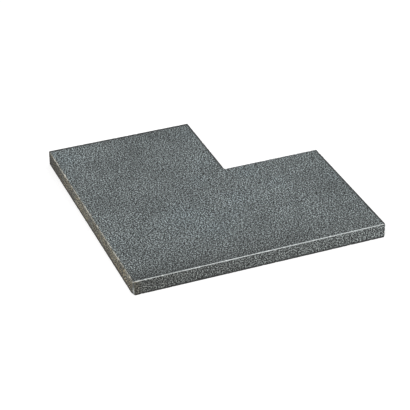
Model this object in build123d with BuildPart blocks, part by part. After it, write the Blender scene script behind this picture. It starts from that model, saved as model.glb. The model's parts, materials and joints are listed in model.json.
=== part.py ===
from build123d import *

import os

# Corner stair tread: one L-shaped slab of dark stone that turns a flight of steps round an outside corner.
# The two long outer sides are the nosings and carry a ground arris. The two arm ends butt against the
# straight treads on either side, and the step above stands in the inner corner.
# Millimetres, +Z up. The origin is on the underside, midway along both outer sides, with the outer
# corner towards -X and -Y.

# Driving dimensions
front_nosing_length = 500.0  # along X, from the outer corner to the end of the front arm
left_nosing_length = 500.0  # along Y, from the outer corner to the end of the left arm
front_arm_going = 300.0  # depth of the front arm, front nosing to the step above
left_arm_going = 300.0  # depth of the left arm, left nosing to the step above
slab_thickness = 30.0
nosing_arris = 2.0  # 45 degree arris along the top of both nosings
corner_arris = 2.0  # the same cut down the upright edge of the outer corner
inner_corner_radius = 2.0  # radius that the cutting jet leaves in the inner corner

# Planes of the six sides
front_side = -left_nosing_length / 2
left_side = -front_nosing_length / 2
front_arm_end = front_nosing_length / 2
left_arm_end = left_nosing_length / 2
front_arm_back = front_side + front_arm_going
left_arm_back = left_side + left_arm_going

with BuildPart() as corner_tread:
    # The outline, cut from a sawn slab
    with BuildSketch(Plane.XY) as outline:
        with BuildLine():
            Polyline(
                (left_side, front_side),
                (front_arm_end, front_side),
                (front_arm_end, front_arm_back),
                (left_arm_back, front_arm_back),
                (left_arm_back, left_arm_end),
                (left_side, left_arm_end),
                close=True,
            )
        make_face()
        inner_corner = outline.vertices().sort_by_distance((left_arm_back, front_arm_back))[0]
        fillet(inner_corner, radius=inner_corner_radius)
        outer_corner = outline.vertices().sort_by_distance((left_side, front_side))[0]
        chamfer(outer_corner, length=corner_arris)
    extrude(amount=slab_thickness)

    # The arris along both nosings, carried round the outer corner in one cut
    walking_face = corner_tread.faces().sort_by(Axis.Z)[-1]
    top_edges = walking_face.edges()
    front_nosing = top_edges.sort_by(Axis.Y)[0]
    left_nosing = top_edges.sort_by(Axis.X)[0]
    corner_turn = top_edges.sort_by_distance((left_side, front_side, slab_thickness))[0]
    chamfer((front_nosing, corner_turn, left_nosing), length=nosing_arris)

corner_tread.part.label = "corner_tread"

os.makedirs("parts", exist_ok=True)
export_step(corner_tread.part, "parts/corner_tread.step")
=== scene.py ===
import json
import math

import bpy
import numpy as np
from mathutils import Matrix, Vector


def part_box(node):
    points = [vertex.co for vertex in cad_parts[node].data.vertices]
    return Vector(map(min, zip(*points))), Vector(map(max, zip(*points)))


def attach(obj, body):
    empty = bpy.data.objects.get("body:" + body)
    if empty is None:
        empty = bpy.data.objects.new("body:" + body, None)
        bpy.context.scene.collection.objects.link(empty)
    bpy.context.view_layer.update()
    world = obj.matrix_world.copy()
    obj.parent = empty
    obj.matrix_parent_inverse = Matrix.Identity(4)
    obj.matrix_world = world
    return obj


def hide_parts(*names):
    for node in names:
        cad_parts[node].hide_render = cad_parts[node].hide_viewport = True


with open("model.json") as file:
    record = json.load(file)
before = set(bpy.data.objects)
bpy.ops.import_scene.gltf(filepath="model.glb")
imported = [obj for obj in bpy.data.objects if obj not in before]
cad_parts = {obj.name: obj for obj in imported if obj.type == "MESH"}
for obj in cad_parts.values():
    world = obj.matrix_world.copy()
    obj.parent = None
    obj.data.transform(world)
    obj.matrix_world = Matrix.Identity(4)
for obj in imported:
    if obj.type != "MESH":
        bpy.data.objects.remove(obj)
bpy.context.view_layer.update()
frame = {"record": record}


# The tread is one L of fine-grained dark basalt, cut from a 30 mm sawn slab and left whole. Its two long
# outer sides are the nosings: their top edge is ground to a small 45 degree arris, which bruises the stone
# pale, and that pale colour also holds a painted highlight. The left side and the outer corner are stained
# brown, chipped, and rougher than the front.

low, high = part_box("corner_tread")
mounts = {mount["name"]: mount["pos_m"] for mount in frame["record"]["mounts"]}
inner_x = mounts["left_arm_back"][0]
inner_y = mounts["front_arm_back"][1]
thickness = high.z - low.z

# Each face of the slab as its axis, the sign of the way into the stone, and its plane
TOP = (2, -1, high.z)
UNDERSIDE = (2, 1, low.z)
FRONT = (1, 1, low.y)
RIGHT_END = (0, -1, high.x)
FRONT_ARM_BACK = (1, -1, inner_y)
LEFT_ARM_BACK = (0, -1, inner_x)
LEFT_END = (1, -1, high.y)
LEFT = (0, 1, low.x)

# The outline from the outer corner round to the right, and the way into the stone at each of its corners
SIDES = (FRONT, RIGHT_END, FRONT_ARM_BACK, LEFT_ARM_BACK, LEFT_END, LEFT)
CORNERS = np.array(
    [
        (low.x, low.y), (high.x, low.y), (high.x, inner_y),
        (inner_x, inner_y), (inner_x, high.y), (low.x, high.y),
    ]
)
CORNER_INWARD = np.array([(1, 1), (-1, 1), (-1, -1), (-1, -1), (-1, -1), (1, -1)])

rim_width = 0.010  # of the finely divided band round the top and the underside
rows_across_rim = 10
rows_down_side = 29
rows_under_rim = 7
rim_crowding = 1.7  # power that draws the rows of the rim towards the edge
side_crowding = 0.75  # from 0, evenly spaced, to 1, closest together at the edges
lattice_cell = 0.005  # of the squares inside that band
rim_steps_per_cell = 4

nosing_arris = 0.0020
outer_corner_arris = 0.0020
sawn_edge_arris = 0.0005
inner_corner_radius = 0.0020


def waves(points, wavelength, seed, count=24):
    """Sum of sine waves at each point, mostly between -1 and 1. Each wave has a random direction and phase,
    and a length from two thirds to one and a half times the wavelength."""
    draw = np.random.default_rng(seed)
    direction = draw.normal(size=(count, 3))
    direction /= np.linalg.norm(direction, axis=1, keepdims=True)
    length = wavelength * draw.uniform(0.67, 1.5, (count, 1))
    phase = draw.uniform(0, 2 * math.pi, count)
    return np.sin(points @ (2 * math.pi * direction / length).T + phase).sum(1) / math.sqrt(2 * count)


def chips(along, count, reach, depth, seed):
    """Extra depth of an edge's cut at each place along it: the deepest of count chips. A chip is a
    parabola, up to reach to each side of its middle and up to depth deep, and small ones are commoner."""
    draw = np.random.default_rng(seed)
    middle = draw.uniform(along.min(), along.max(), count)
    size = draw.uniform(0.25, 1, count) ** 2
    from_middle = (along[:, None] - middle) / (reach * size)
    return (depth * size * (1 - from_middle**2)).max(1).clip(0)


def cut(points, first, second, size, where=True):
    """Cuts the edge between two faces at 45 degrees. A point whose distances from the two faces add up to
    less than size moves into the stone, by the same length from both, until they do. Returns that length
    for each point."""
    (axis_a, inward_a, plane_a), (axis_b, inward_b, plane_b) = first, second
    distance = inward_a * (points[:, axis_a] - plane_a) + inward_b * (points[:, axis_b] - plane_b)
    move = np.where(where, (size - distance).clip(0) / 2, 0)
    points[:, axis_a] += inward_a * move
    points[:, axis_b] += inward_b * move
    return move


# The rim: a profile carried along the outline. It starts on the top, rim_width inside the edge, goes out to
# the edge, down the side, and in again under the stone. Rows are closest together at the edges.
rim_corners = CORNERS + CORNER_INWARD * rim_width
side_lengths = np.linalg.norm(np.roll(rim_corners, -1, 0) - rim_corners, axis=1)
side_steps = np.rint(side_lengths / lattice_cell).astype(int) * rim_steps_per_cell
side_of = np.repeat(np.arange(len(SIDES)), side_steps)
share = np.concatenate([np.arange(steps) / steps for steps in side_steps])[:, None, None]

across = rim_width * np.linspace(1, 0, rows_across_rim) ** rim_crowding
turn = np.linspace(0, 1, rows_down_side)
down = thickness * (turn - side_crowding * np.sin(2 * math.pi * turn) / (2 * math.pi))
under = rim_width * np.linspace(0, 1, rows_under_rim) ** rim_crowding
profile_inset = np.concatenate([across, np.zeros(len(down) - 2), under])
profile_depth = np.concatenate([np.zeros(len(across)), down[1:-1], np.full(len(under), thickness)])

inset = profile_inset[None, :, None]
start = CORNERS[side_of][:, None] + CORNER_INWARD[side_of][:, None] * inset
end = np.roll(CORNERS, -1, 0)[side_of][:, None] + np.roll(CORNER_INWARD, -1, 0)[side_of][:, None] * inset
plan = (1 - share) * start + share * end
height = np.broadcast_to(high.z - profile_depth, plan.shape[:2])
rim = np.concatenate([plan, height[..., None]], axis=2)

# Top and underside inside the rim: a square lattice that takes in the rim's innermost row
columns, rows = rim.shape[:2]
rim_index = np.arange(columns * rows).reshape(columns, rows)
step = lattice_cell / rim_steps_per_cell
origin = CORNERS[0] + rim_width
span = np.rint((CORNERS.max(0) - rim_width - origin) / step).astype(int)
notch = np.rint((CORNERS[3] - rim_width - origin) / step).astype(int)
at_rim = np.rint((rim[:, 0, :2] - origin) / step).astype(int)
lattice = np.stack(np.meshgrid(*(np.arange(0, n + 1, rim_steps_per_cell) for n in span), indexing="ij"), -1)
lattice = lattice.reshape(-1, 2)
inside = (lattice > 0).all(1) & (lattice < span).all(1) & ~(lattice >= notch).all(1)
lattice = lattice[inside]


def lattice_faces(rim_row, first_index):
    """Faces of the square lattice as lists of vertices, anticlockwise from above. A cell's border has
    rim_steps_per_cell places on each side: its four corners are always used, the rest where the rim is."""
    index = np.full(span + 1, -1)
    index[at_rim[:, 0], at_rim[:, 1]] = rim_row
    index[lattice[:, 0], lattice[:, 1]] = first_index + np.arange(len(lattice))
    places = np.arange(rim_steps_per_cell)
    near, far = np.zeros_like(places), np.full_like(places, rim_steps_per_cell)
    border = np.concatenate(
        [
            np.stack([places, near], 1),
            np.stack([far, places], 1),
            np.stack([far - places, far], 1),
            np.stack([near, far - places], 1),
        ]
    )
    cells = np.stack(np.meshgrid(*(np.arange(0, n, rim_steps_per_cell) for n in span), indexing="ij"), -1)
    cells = cells.reshape(-1, 2)
    cells = cells[~(cells >= notch).all(1)]
    column, row = (cells[:, None] + border).transpose(2, 0, 1)
    found = index[column, row]
    used = found >= 0
    return np.split(found[used], np.cumsum(used.sum(1))[:-1])


top_points = np.column_stack([origin + lattice * step, np.full(len(lattice), high.z)])
under_points = np.column_stack([origin + lattice * step, np.full(len(lattice), low.z)])
points = np.concatenate([rim.reshape(-1, 3), top_points, under_points])

next_column = np.roll(rim_index, -1, 0)
rim_faces = np.stack(
    [rim_index[:, :-1], rim_index[:, 1:], next_column[:, 1:], next_column[:, :-1]], -1
).reshape(-1, 4)
top_faces = lattice_faces(rim_index[:, 0], columns * rows)
under_faces = [face[::-1] for face in lattice_faces(rim_index[:, -1], columns * rows + len(top_points))]

# Where each point lies. Those on the edge round the top or the underside are on both faces.
on_side = np.full(len(points), -1)
on_side[: columns * rows] = np.where(profile_inset == 0, side_of[:, None], -1).ravel()
on_top = points[:, 2] == high.z
on_underside = points[:, 2] == low.z
on_front = on_side == SIDES.index(FRONT)
on_left = on_side == SIDES.index(LEFT)
walked_on = on_top & (on_side < 0)

# The flat faces and sharp edges of the uncut slab, on which every pattern below is laid out
sharp = points.copy()
x, y, z = sharp.T
from_left = x - low.x
from_front = y - low.y
above_floor = z - low.z
along_front = from_left / (high.x - low.x)
along_left = (high.y - y) / (high.y - low.y)
hair = sawn_edge_arris / 100  # leaves out the points of the inner corner itself
in_front_arm = x > inner_x + hair
in_left_arm = y > inner_y + hair

# Relief, always into the stone: the top a tenth of a millimetre out of flat, the front sawn true, the left
# side and the underside rougher
top_relief = 0.00006
underside_relief = 0.00012
side_relief = {
    FRONT: 0.00005, RIGHT_END: 0.00008, FRONT_ARM_BACK: 0.00008,
    LEFT_ARM_BACK: 0.00008, LEFT_END: 0.00008, LEFT: 0.00022,
}
points[:, 2] -= np.where(on_top, top_relief * (1 + waves(sharp, 0.070, seed=1)).clip(0), 0)
points[:, 2] += np.where(on_underside, underside_relief * (1 + waves(sharp, 0.025, seed=2)).clip(0), 0)
for number, side in enumerate(SIDES):
    axis, inward, plane = side
    rough = 1 + waves(sharp, 0.009, seed=10 + number) + 0.6 * waves(sharp, 0.0035, seed=20 + number)
    points[:, axis] += np.where(on_side == number, inward * (side_relief[side] * rough).clip(0), 0)

# The ground arrises. The front one is nearly straight, with small nicks. The left one and the one down the
# outer corner wander and are chipped.
front_size = nosing_arris + 0.00022 * waves(sharp, 0.030, seed=31) + 0.00014 * waves(sharp, 0.005, seed=32)
front_size += chips(x, count=26, reach=0.0030, depth=0.0010, seed=33)
left_size = nosing_arris + 0.00040 * waves(sharp, 0.040, seed=34) + 0.00030 * waves(sharp, 0.006, seed=35)
left_size += chips(y, count=46, reach=0.0045, depth=0.0016, seed=36)
corner_size = outer_corner_arris + 0.00035 * waves(sharp, 0.008, seed=37)
corner_size += chips(z, count=5, reach=0.0030, depth=0.0014, seed=38)
front_ground = cut(points, FRONT, TOP, front_size)
left_ground = cut(points, LEFT, TOP, left_size)
corner_ground = cut(points, FRONT, LEFT, corner_size)

# The other edges are as the saw left them, with small spalls. Each is given by its two faces, the
# coordinate that runs along it and the points that it may cut.
sawn_edges = (
    (RIGHT_END, TOP, y, True), (FRONT_ARM_BACK, TOP, x, in_front_arm),
    (LEFT_ARM_BACK, TOP, y, in_left_arm), (LEFT_END, TOP, x, True),
    (FRONT, UNDERSIDE, x, True), (RIGHT_END, UNDERSIDE, y, True),
    (FRONT_ARM_BACK, UNDERSIDE, x, in_front_arm), (LEFT_ARM_BACK, UNDERSIDE, y, in_left_arm),
    (LEFT_END, UNDERSIDE, x, True), (LEFT, UNDERSIDE, y, True), (FRONT, RIGHT_END, z, True),
    (FRONT_ARM_BACK, RIGHT_END, z, in_front_arm), (LEFT_ARM_BACK, LEFT_END, z, in_left_arm),
    (LEFT, LEFT_END, z, True),
)
for number, (first, second, along, where) in enumerate(sawn_edges):
    spalls = 3 if along is z else 30
    size = sawn_edge_arris + 0.00018 * waves(sharp, 0.006, seed=40 + number)
    size += chips(along, count=spalls, reach=0.0025, depth=0.0011, seed=60 + number)
    cut(points, first, second, size, where)

# The inner corner: the points of the edge that lie nearer to it than its radius move out to the arc, and
# those beside them on the top and the underside follow less and less
arc_centre = np.array([inner_x, inner_y]) + inner_corner_radius
from_centre = points[:, :2] - arc_centre
distance = np.linalg.norm(from_centre, axis=1)
at_corner = ((from_centre < 0) & (from_centre > -2 * inner_corner_radius)).all(1)
edge_inset = np.full(len(points), rim_width)
edge_inset[: columns * rows] = np.broadcast_to(profile_inset, (columns, rows)).ravel()
follow = (1 - edge_inset / inner_corner_radius).clip(0)
outward = np.where(at_corner, (distance - inner_corner_radius).clip(0) * follow, 0)
points[:, :2] -= from_centre * (outward / distance)[:, None]

# Two lost corners at the bottom: the outer one and, smaller, the front one on the right. Each is a plane,
# given by where it meets the three edges, and a point outside it moves straight back to it.
broken_corners = (
    (np.array([low.x, low.y, low.z]), np.array([0.0045, 0.0120, 0.0060])),
    (np.array([high.x, low.y, low.z]), np.array([-0.0016, 0.0040, 0.0055])),
)
for number, (corner, reach) in enumerate(broken_corners):
    normal = 1 / reach
    length = np.linalg.norm(normal)
    lost = (1 - (points - corner) @ normal) / length
    lost += 0.0003 * waves(sharp, 0.003, seed=80 + number)
    points += normal / length * lost.clip(0)[:, None]

mesh = bpy.data.meshes.new("tread_stone")
mesh.from_pydata(points, [], rim_faces.tolist() + top_faces + under_faces)
mesh.update()
mesh.shade_smooth()
sharp_edge_angle = math.radians(28)
mesh.set_sharp_from_angle(angle=sharp_edge_angle)

# Two maps of the flat faces, taken where each point was before its edge was cut. "sawn_faces" is in metres,
# each face a metre further on, and carries the grain, since a saw cuts other grains on each face.
FACES = (TOP, UNDERSIDE) + SIDES
face_axes = np.array([[(axis + 1) % 3, (axis + 2) % 3][::-inward] for axis, inward, plane in FACES])
row_on_top = np.arange(rows - 1) < rows_across_rim - 1
row_on_side = ~row_on_top & (np.arange(rows - 1) < rows_across_rim + rows_down_side - 2)
rim_face = np.where(row_on_top, 0, np.where(row_on_side, side_of[:, None] + 2, 1)).ravel()
face_of_polygon = np.concatenate([rim_face, np.zeros(len(top_faces), int), np.ones(len(under_faces), int)])
polygon_sizes = [4] * len(rim_faces) + [len(polygon) for polygon in top_faces + under_faces]
face = np.repeat(face_of_polygon, polygon_sizes)
corner_vertex = np.concatenate([rim_faces.ravel(), *top_faces, *under_faces])
flat = np.take_along_axis(sharp[corner_vertex], face_axes[face], 1)


def add_map(name, places):
    """Adds a map with a place for each corner of each face of the mesh."""
    mesh.uv_layers.new(name=name).uv.foreach_set("vector", places.astype(np.float32).ravel())


add_map("sawn_faces", flat + face[:, None])

# "OFBake" packs the faces into a square: the top at full size, two rows of sides above it, two columns of
# sides at its right, and the underside, made smaller, in the notch of the L.
gap = 0.006
slab_length = high.x - low.x
arm_width = inner_x - low.x
notch_width = high.x - inner_x
beside = slab_length + 2 * gap
beyond = beside + thickness + gap
map_width = beyond + thickness + gap
notch_scale = (notch_width - 3 * gap) / slab_length
place_in_square = {
    TOP: (gap, gap), UNDERSIDE: (arm_width + 2.5 * gap, arm_width + 2.5 * gap),
    FRONT: (gap, beside), RIGHT_END: (gap, beyond), LEFT_ARM_BACK: (arm_width + 2 * gap, beyond),
    LEFT: (beside, gap), LEFT_END: (beyond, gap), FRONT_ARM_BACK: (beyond, arm_width + 2 * gap),
}
face_start = np.array([flat[face == number].min(0) for number in range(len(FACES))])
scale = np.where(np.arange(len(FACES)) == FACES.index(UNDERSIDE), notch_scale, 1)
square_place = np.array([place_in_square[each] for each in FACES])
add_map("OFBake", (square_place[face] + (flat - face_start[face]) * scale[face][:, None]) / map_width)

# Broad colour, kept at each vertex under a name. The lists hold soft round spots, chosen while looking at
# the photograph, plain and blurred: middle, radius, and how much lighter or darker, bluer, or less speckled
# the stone is there. LEFT_CLOUDS lie on the left side, by the place along it and the height.
CLOUDS = (
    (-0.220, 0.220, 0.045, 0.15), (-0.175, 0.205, 0.035, 0.08), (-0.120, 0.205, 0.020, 0.07),
    (0.025, 0.150, 0.028, 0.09), (0.005, 0.100, 0.028, 0.15), (-0.015, 0.055, 0.026, 0.16),
    (-0.110, 0.080, 0.022, 0.13), (-0.108, 0.035, 0.024, 0.14), (-0.185, 0.100, 0.022, 0.05),
    (-0.170, 0.045, 0.024, 0.04), (-0.095, -0.110, 0.036, 0.08), (-0.120, -0.140, 0.030, 0.02),
    (0.020, -0.070, 0.036, 0.13), (-0.030, -0.095, 0.030, 0.06), (0.110, -0.052, 0.026, 0.20),
    (0.070, -0.005, 0.032, 0.10), (0.130, 0.030, 0.030, 0.07), (0.190, 0.030, 0.030, 0.05),
    (0.095, -0.132, 0.018, 0.17), (0.150, -0.135, 0.022, 0.12), (0.150, -0.170, 0.018, 0.05),
    (-0.030, -0.160, 0.024, 0.06), (-0.235, -0.090, 0.020, 0.05), (0.030, 0.225, 0.020, 0.03),
    (-0.035, 0.240, 0.030, -0.17), (-0.110, 0.245, 0.030, -0.12), (-0.090, 0.185, 0.021, -0.26),
    (-0.153, 0.158, 0.024, -0.16), (-0.215, 0.060, 0.024, -0.06), (-0.143, -0.037, 0.022, -0.21),
    (-0.048, -0.018, 0.026, -0.14), (-0.212, 0.018, 0.026, -0.09), (-0.212, -0.155, 0.028, -0.17),
    (0.215, -0.110, 0.030, -0.17), (0.215, -0.030, 0.026, -0.10), (0.070, -0.215, 0.024, -0.15),
    (0.035, -0.168, 0.026, -0.15), (0.120, -0.100, 0.014, -0.06), (0.200, -0.190, 0.030, -0.06),
    (-0.060, 0.120, 0.026, -0.06), (0.035, 0.040, 0.016, -0.06), (-0.128, 0.122, 0.022, 0.10),
    (-0.065, 0.105, 0.022, 0.09),
)
BLUE_PATCHES = (
    (-0.228, 0.205, 0.030, 0.40), (-0.240, 0.140, 0.020, 0.25), (0.030, 0.210, 0.022, 0.25),
    (0.015, 0.085, 0.022, 0.22), (-0.015, 0.030, 0.024, 0.22), (-0.085, -0.080, 0.045, 0.35),
    (-0.050, -0.145, 0.030, 0.30), (0.035, -0.060, 0.028, 0.30), (0.000, -0.110, 0.024, 0.22),
    (0.085, 0.020, 0.026, 0.30), (0.125, -0.035, 0.022, 0.22), (-0.240, -0.120, 0.018, 0.22),
    (0.238, -0.050, 0.018, 0.22),
)
EVEN_PATCHES = (
    (-0.140, 0.110, 0.050, 0.20), (-0.080, 0.080, 0.040, 0.15), (-0.030, 0.060, 0.040, 0.15),
    (-0.060, 0.230, 0.040, 0.15), (-0.200, 0.010, 0.025, 0.20), (0.215, -0.080, 0.030, 0.20),
    (0.020, 0.200, 0.035, 0.15), (-0.100, 0.000, 0.040, 0.12),
)
LEFT_CLOUDS = (
    (0.240, 0.012, 0.022, -0.50), (0.195, 0.010, 0.030, -0.52), (0.150, 0.022, 0.014, -0.08),
    (0.100, 0.008, 0.018, -0.32), (0.055, 0.010, 0.020, 0.25), (0.025, 0.014, 0.016, 0.25),
    (-0.010, 0.020, 0.010, -0.20), (-0.040, 0.008, 0.012, -0.25), (-0.075, 0.018, 0.014, 0.15),
    (-0.120, 0.010, 0.014, -0.20), (-0.130, 0.026, 0.005, 0.55), (-0.148, 0.025, 0.005, 0.60),
    (-0.165, 0.026, 0.006, 0.50), (-0.180, 0.012, 0.012, -0.25), (-0.215, 0.014, 0.012, 0.30),
    (-0.240, 0.008, 0.008, -0.35),
)


def patches(flat_points, spots):
    """Sum of soft round spots on a face: each adds its strength times e to the minus square of the distance
    from its middle over its radius."""
    first, second, radius, strength = np.array(spots).T
    square = ((flat_points[:, :1] - first) ** 2 + (flat_points[:, 1:] - second) ** 2) / radius**2
    return (strength * np.exp(-square)).sum(1)


def dark_lines(*edges):
    """The strongest of the dark lines of painted shade along some edges. Each is given as the distance from
    its edge, its width, its strength and where it runs. It is full as far as its width, and fades out in
    half as much again."""
    lines = []
    for away, width, strength, where in edges:
        fade = (3 - 2 * away / width).clip(0, 1)
        lines.append(strength * np.where(where, fade, 0))
    return np.max(lines, axis=0)


def keep_attribute(name, values):
    """Keeps a value for each vertex under a name, which the material reads."""
    mesh.attributes.new(name, "FLOAT", "POINT").data.foreach_set("value", values.astype(np.float32))


on_plan = sharp[:, :2]
on_left_side = sharp[:, 1:]

# cloud: how much lighter the stone is. The top darkens towards the front, most on the left, and the front
# darkens towards the outer corner.
dark_margin = 0.46 * np.exp(-from_front / 0.025) + 0.20 * np.exp(-((from_front / 0.065) ** 2))
dark_margin *= 1 - 0.75 * along_front
top_cloud = patches(on_plan, CLOUDS) - 0.01 + 0.02 * waves(sharp, 0.035, seed=91) - dark_margin
front_cloud = -0.40 + 0.50 * along_front + 0.04 * waves(sharp, 0.025, seed=92)
left_cloud = -0.15 + 0.34 * waves(sharp, 0.009, seed=93) + 0.32 * waves(sharp, 0.004, seed=94)
left_cloud += patches(on_left_side, LEFT_CLOUDS)
other_cloud = 0.04 * waves(sharp, 0.030, seed=95)
cloud = np.select([on_front, on_left, walked_on], [front_cloud, left_cloud, top_cloud], other_cloud)
keep_attribute("cloud", cloud)

# warm: how far the colour goes from blue-grey to neutral
warm = 0.45 + 0.2 * np.exp(-((from_front / 0.05) ** 2)) - patches(on_plan, BLUE_PATCHES)
keep_attribute("warm", np.where(on_front, 1.0 - 0.15 * along_front, warm).clip(0, 1))

# stain: how far it goes from there to brown, over the left side and round the outer corner
front_stain = 0.7 * np.exp(-((from_left / 0.012) ** 2)) + 0.2 * np.exp(-from_left / 0.1)
left_stain = 0.92 + 0.25 * waves(sharp, 0.030, seed=96)
stain = np.select(
    [left_ground > 0, corner_ground > 0, on_front, on_left], [0.6, 0.15, front_stain, left_stain], 0
)
keep_attribute("stain", stain.clip(0, 1))

# speckle: how strong the grains are
top_speckle = 1.05 + 0.10 * waves(sharp, 0.050, seed=97) - patches(on_plan, EVEN_PATCHES)
keep_attribute("speckle", np.select([on_left, on_side >= 0], [1.15, 0.92], top_speckle))

# bruise: pale crushed stone on the ground arrises, with a painted highlight laid into it. It is a fine line
# on the front arris, fainter towards the outer corner, and uneven on the left one. The outer corner has
# three pale knocks, low down, which are partly painted highlights on its chipped edge.
front_bruise_and_highlight = ((front_ground - 0.00035) / 0.0004).clip(0, 1) * (0.88 + 0.36 * along_front)
uneven = 0.85 + 0.5 * waves(sharp, 0.012, seed=98) + 0.3 * waves(sharp, 0.004, seed=99)
left_bruise_and_highlight = ((left_ground - 0.00045) / 0.0003).clip(0, 1) * uneven.clip(0.35, 1)
left_bruise_and_highlight *= 1.5 - 0.75 * along_left
knocks_and_highlights = ((low.y, 0.0148, 0.0014, 2.0), (low.y, 0.0098, 0.0014, 2.4), (low.y, 0.0056, 0.0012, 1.2))
corner_knocks_and_highlight = patches(on_left_side, knocks_and_highlights) + 0.3 * waves(sharp, 0.004, seed=100)
corner_knocks_and_highlight *= ((corner_ground - 0.0003) / 0.0005).clip(0, 1)
keep_attribute("bruise", np.max([front_bruise_and_highlight, left_bruise_and_highlight, corner_knocks_and_highlight], axis=0).clip(0, 1.3))

# grime: painted shade, a dark line along the sawn edges of the top, faint behind the front arm, along the
# end of the left side, and at the foot of the front and the left side, where it stands for the contact
# shadow
top_edge_shade = dark_lines(
    (high.x - x, 0.0030, 1.0, True), (high.y - y, 0.0045, 1.0, True),
    (inner_y - y, 0.0030, 0.35, in_front_arm), (inner_x - x, 0.0030, 1.0, in_left_arm),
)
# Painted shade at the foot of the front and the left side, standing for the contact shadow
front_foot_shade = dark_lines((above_floor, 0.0030, 1.0, True))
left_edge_shade = dark_lines((above_floor, 0.0050, 1.0, True), (high.y - y, 0.0050, 0.7, True))
grime = np.select([walked_on, on_front, on_left], [top_edge_shade, front_foot_shade, left_edge_shade], 0)
keep_attribute("grime", grime)


class Wire:
    """One output of a material's nodes. Python's operators on wires and numbers add the Math nodes."""

    def __init__(self, tree, socket=None):
        self.tree = tree
        self.socket = socket

    def node(self, kind, settings, inputs, output=0):
        """A new node. Its settings are set first, then its inputs: each is a number, a colour or a wire."""
        made = self.tree.nodes.new("ShaderNode" + kind)
        for name, value in settings.items():
            setattr(made, name, value)
        for key, value in inputs.items():
            if isinstance(value, Wire):
                self.tree.links.new(value.socket, made.inputs[key])
            else:
                made.inputs[key].default_value = value
        return Wire(self.tree, made.outputs[output] if made.outputs else None)

    def math(self, operation, *operands):
        return self.node("Math", {"operation": operation}, dict(enumerate(operands)))

    def __add__(self, other):
        return self.math("ADD", self, other)

    def __sub__(self, other):
        return self.math("SUBTRACT", self, other)

    def __rsub__(self, other):
        return self.math("SUBTRACT", other, self)

    def __mul__(self, other):
        return self.math("MULTIPLY", self, other)

    __radd__ = __add__
    __rmul__ = __mul__

    def clamp(self):
        return self.node("Clamp", {}, {0: self})

    def mix(self, first, second):
        """The colour first where this wire is 0, second where it is 1, and a blend between."""
        return self.node("Mix", {"data_type": "RGBA"}, {0: self, 6: first, 7: second}, 2)


def tone(red, green, blue):
    """A colour from its screen values of 0 to 255, turned linear by the screen's curve."""
    return *(((c / 255 + 0.055) / 1.055) ** 2.4 for c in (red, green, blue)), 1.0


def empty_tree(owner):
    """Turns on the nodes of a material or a world and clears them. Returns a wire to start from."""
    owner.use_nodes = True
    owner.node_tree.nodes.clear()
    return Wire(owner.node_tree)


# One material for the whole stone: soft grains of two sizes and hard-edged crystals over the broad colour,
# then the pale bruises with their painted highlight and the dark lines of painted shade
BLUE_GREY = tone(89, 97, 99)
NEUTRAL_GREY = tone(92, 96, 95)
OLIVE = tone(85, 83, 73)
TAN = tone(102, 95, 78)
PALE_STONE = tone(232, 238, 238)
PALE_TAN = tone(215, 208, 190)
# Dark colours of the painted shade along the edges and at the foot
EDGE_SHADE_COLOUR = tone(26, 27, 27)
BROWN_EDGE_SHADE_COLOUR = tone(36, 28, 15)
grain_size = 0.0024
crystal_size = 0.0011
fine_grain_size = 0.0012
stain_patch_size = 0.014
darkest_grain = 0.06
edge_shade_cover = 0.9

basalt = bpy.data.materials.new("basalt")
stone = empty_tree(basalt)
cloud, warm, stain, speckle, bruise, grime = (
    stone.node("Attribute", {"attribute_name": name}, {}, "Fac")
    for name in ("cloud", "warm", "stain", "speckle", "bruise", "grime")
)
on_face = stone.node("UVMap", {"uv_map": "sawn_faces"}, {})


def noise(size, detail=0.0):
    """Soft noise on the flat faces, from 0 to 1 round a mean of 0.5. Its patches are about size across."""
    inputs = {"Vector": on_face, "Scale": 1 / size, "Detail": detail}
    return stone.node("TexNoise", {"noise_dimensions": "2D"}, inputs, "Fac")


grains = noise(grain_size)
fine_grains = noise(fine_grain_size)
crystal_cells = {"Vector": on_face, "Scale": 1 / crystal_size}
crystals = stone.node("TexVoronoi", {"voronoi_dimensions": "2D"}, crystal_cells, "Color")

# How light each grain is beside the broad colour. The darkest ones are held just above black.
grain = 0.76 + speckle * (11.0 * (grains - 0.5) + 5.5 * (crystals - 0.5) + 3.0 * (fine_grains - 0.5))
light = (1.0 + cloud) * grain.math("MAXIMUM", grain, darkest_grain)

# The stain is olive and tan in patches. Where it lies, the bruises are pale tan and the dark lines brown.
stain_colour = ((noise(stain_patch_size, 3.0) - 0.5) * 5 + 0.4).clamp().mix(OLIVE, TAN)
colour = stain.mix(warm.mix(BLUE_GREY, NEUTRAL_GREY), stain_colour)
colour = stone.node("VectorMath", {"operation": "SCALE"}, {0: colour, "Scale": light})
pale = stain.mix(PALE_STONE, PALE_TAN)
# Pale ground stone on the arrises and knocks, partly a painted highlight
colour = (bruise * (0.85 + 1.5 * (fine_grains - 0.5))).clamp().mix(colour, pale)
# Painted shade: dark lines along the edges of the top and at the foot
colour = (grime * edge_shade_cover).mix(colour, stain.mix(EDGE_SHADE_COLOUR, BROWN_EDGE_SHADE_COLOUR))

pits = grains + fine_grains * 0.6
normal = stone.node("Bump", {}, {"Strength": 0.25, "Distance": 0.0004, "Height": pits})
finish = {"Base Color": colour, "Roughness": 0.82, "Normal": normal}
shader = stone.node("BsdfPrincipled", {}, finish, "BSDF")
stone.node("OutputMaterial", {}, {"Surface": shader})
mesh.materials.append(basalt)

tread = bpy.data.objects.new("tread_stone", mesh)
bpy.context.scene.collection.objects.link(tread)
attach(tread, "root")
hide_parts("corner_tread")


def seen_directly(start):
    """1 for a ray from the camera, also by way of gloss or glass, and 0 for light on its way to stone."""
    kinds = ("Is Camera Ray", "Is Glossy Ray", "Is Transmission Ray")
    camera_ray, glossy_ray, glass_ray = (start.node("LightPath", {}, {}, kind) for kind in kinds)
    return (camera_ray + glossy_ray + glass_ray).clamp()


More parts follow.
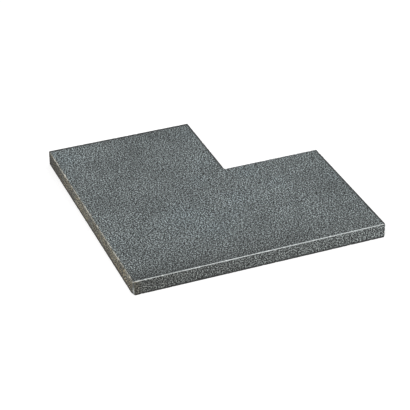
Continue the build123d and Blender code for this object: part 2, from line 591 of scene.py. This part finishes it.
# The floor is a wide white sheet. To the camera it also gives a little light of its own, so that it is pure
# white wherever the slab's shadow doesn't fall.
floor_reach = 6.0
floor_glow = 0.47
floor_height = low.z - 0.0004
floor_corners = [(-1, -1), (1, -1), (1, 1), (-1, 1)]
floor_mesh = bpy.data.meshes.new("floor")
floor_mesh.from_pydata(
    [(floor_reach * side_x, floor_reach * side_y, floor_height) for side_x, side_y in floor_corners],
    [],
    [(0, 1, 2, 3)],
)
floor_white = bpy.data.materials.new("floor_white")
sheet = empty_tree(floor_white)
paper = sheet.node("BsdfDiffuse", {}, {"Color": tone(235, 235, 235)})
own_light = {"Color": (1.0, 1.0, 1.0, 1.0), "Strength": seen_directly(sheet) * floor_glow}
glow = sheet.node("Emission", {}, own_light)
sheet.node("OutputMaterial", {}, {"Surface": sheet.node("AddShader", {}, {0: paper, 1: glow})})
floor_mesh.materials.append(floor_white)
floor = bpy.data.objects.new("floor", floor_mesh)
bpy.context.scene.collection.objects.link(floor)


# Soft studio light: a pale surround, a large soft box high on the left in front, and a weaker one on the
# right. Both soft boxes face the middle of the slab.
surround_level = 0.43
surround = bpy.data.worlds.new("surround")
bpy.context.scene.world = surround
air = empty_tree(surround)
strength = surround_level + seen_directly(air) * (1 - surround_level)
background = air.node("Background", {}, {"Color": (1.0, 1.0, 1.0, 1.0), "Strength": strength})
air.node("OutputWorld", {}, {"Surface": background})

SOFT_BOXES = (
    ("soft_box_left", (-1.6, -2.2, 3.0), 2.2, 74.0),
    ("soft_box_right", (2.4, -1.6, 2.4), 1.8, 27.0),
)
for name, stand, size, power in SOFT_BOXES:
    lamp = bpy.data.lights.new(name, "AREA")
    lamp.shape = "SQUARE"
    lamp.size = size
    lamp.energy = power
    box = bpy.data.objects.new(name, lamp)
    place = Matrix.Translation(stand)
    box.matrix_world = place @ place.to_translation().to_track_quat("Z", "Y").to_matrix().to_4x4()
    bpy.context.scene.collection.objects.link(box)


# The camera stands to the left in front and looks down at the slab, as in the photograph. Its place, angles
# and lens are fitted to the straight edges seen there.
camera_place = (-0.9771, -2.4139, 1.6097)
camera_azimuth = math.radians(21.796)
camera_elevation = math.radians(31.931)
camera_roll = math.radians(-0.378)
camera_data = bpy.data.cameras.new("camera")
camera_data.lens = 137.99
camera = bpy.data.objects.new("camera", camera_data)
camera.matrix_world = (
    Matrix.Translation(camera_place)
    @ Matrix.Rotation(-camera_azimuth, 4, "Z")
    @ Matrix.Rotation(math.pi / 2 - camera_elevation, 4, "X")
    @ Matrix.Rotation(camera_roll, 4, "Z")
)
bpy.context.scene.collection.objects.link(camera)
bpy.context.scene.camera = camera
bpy.context.scene.view_settings.view_transform = "Standard"
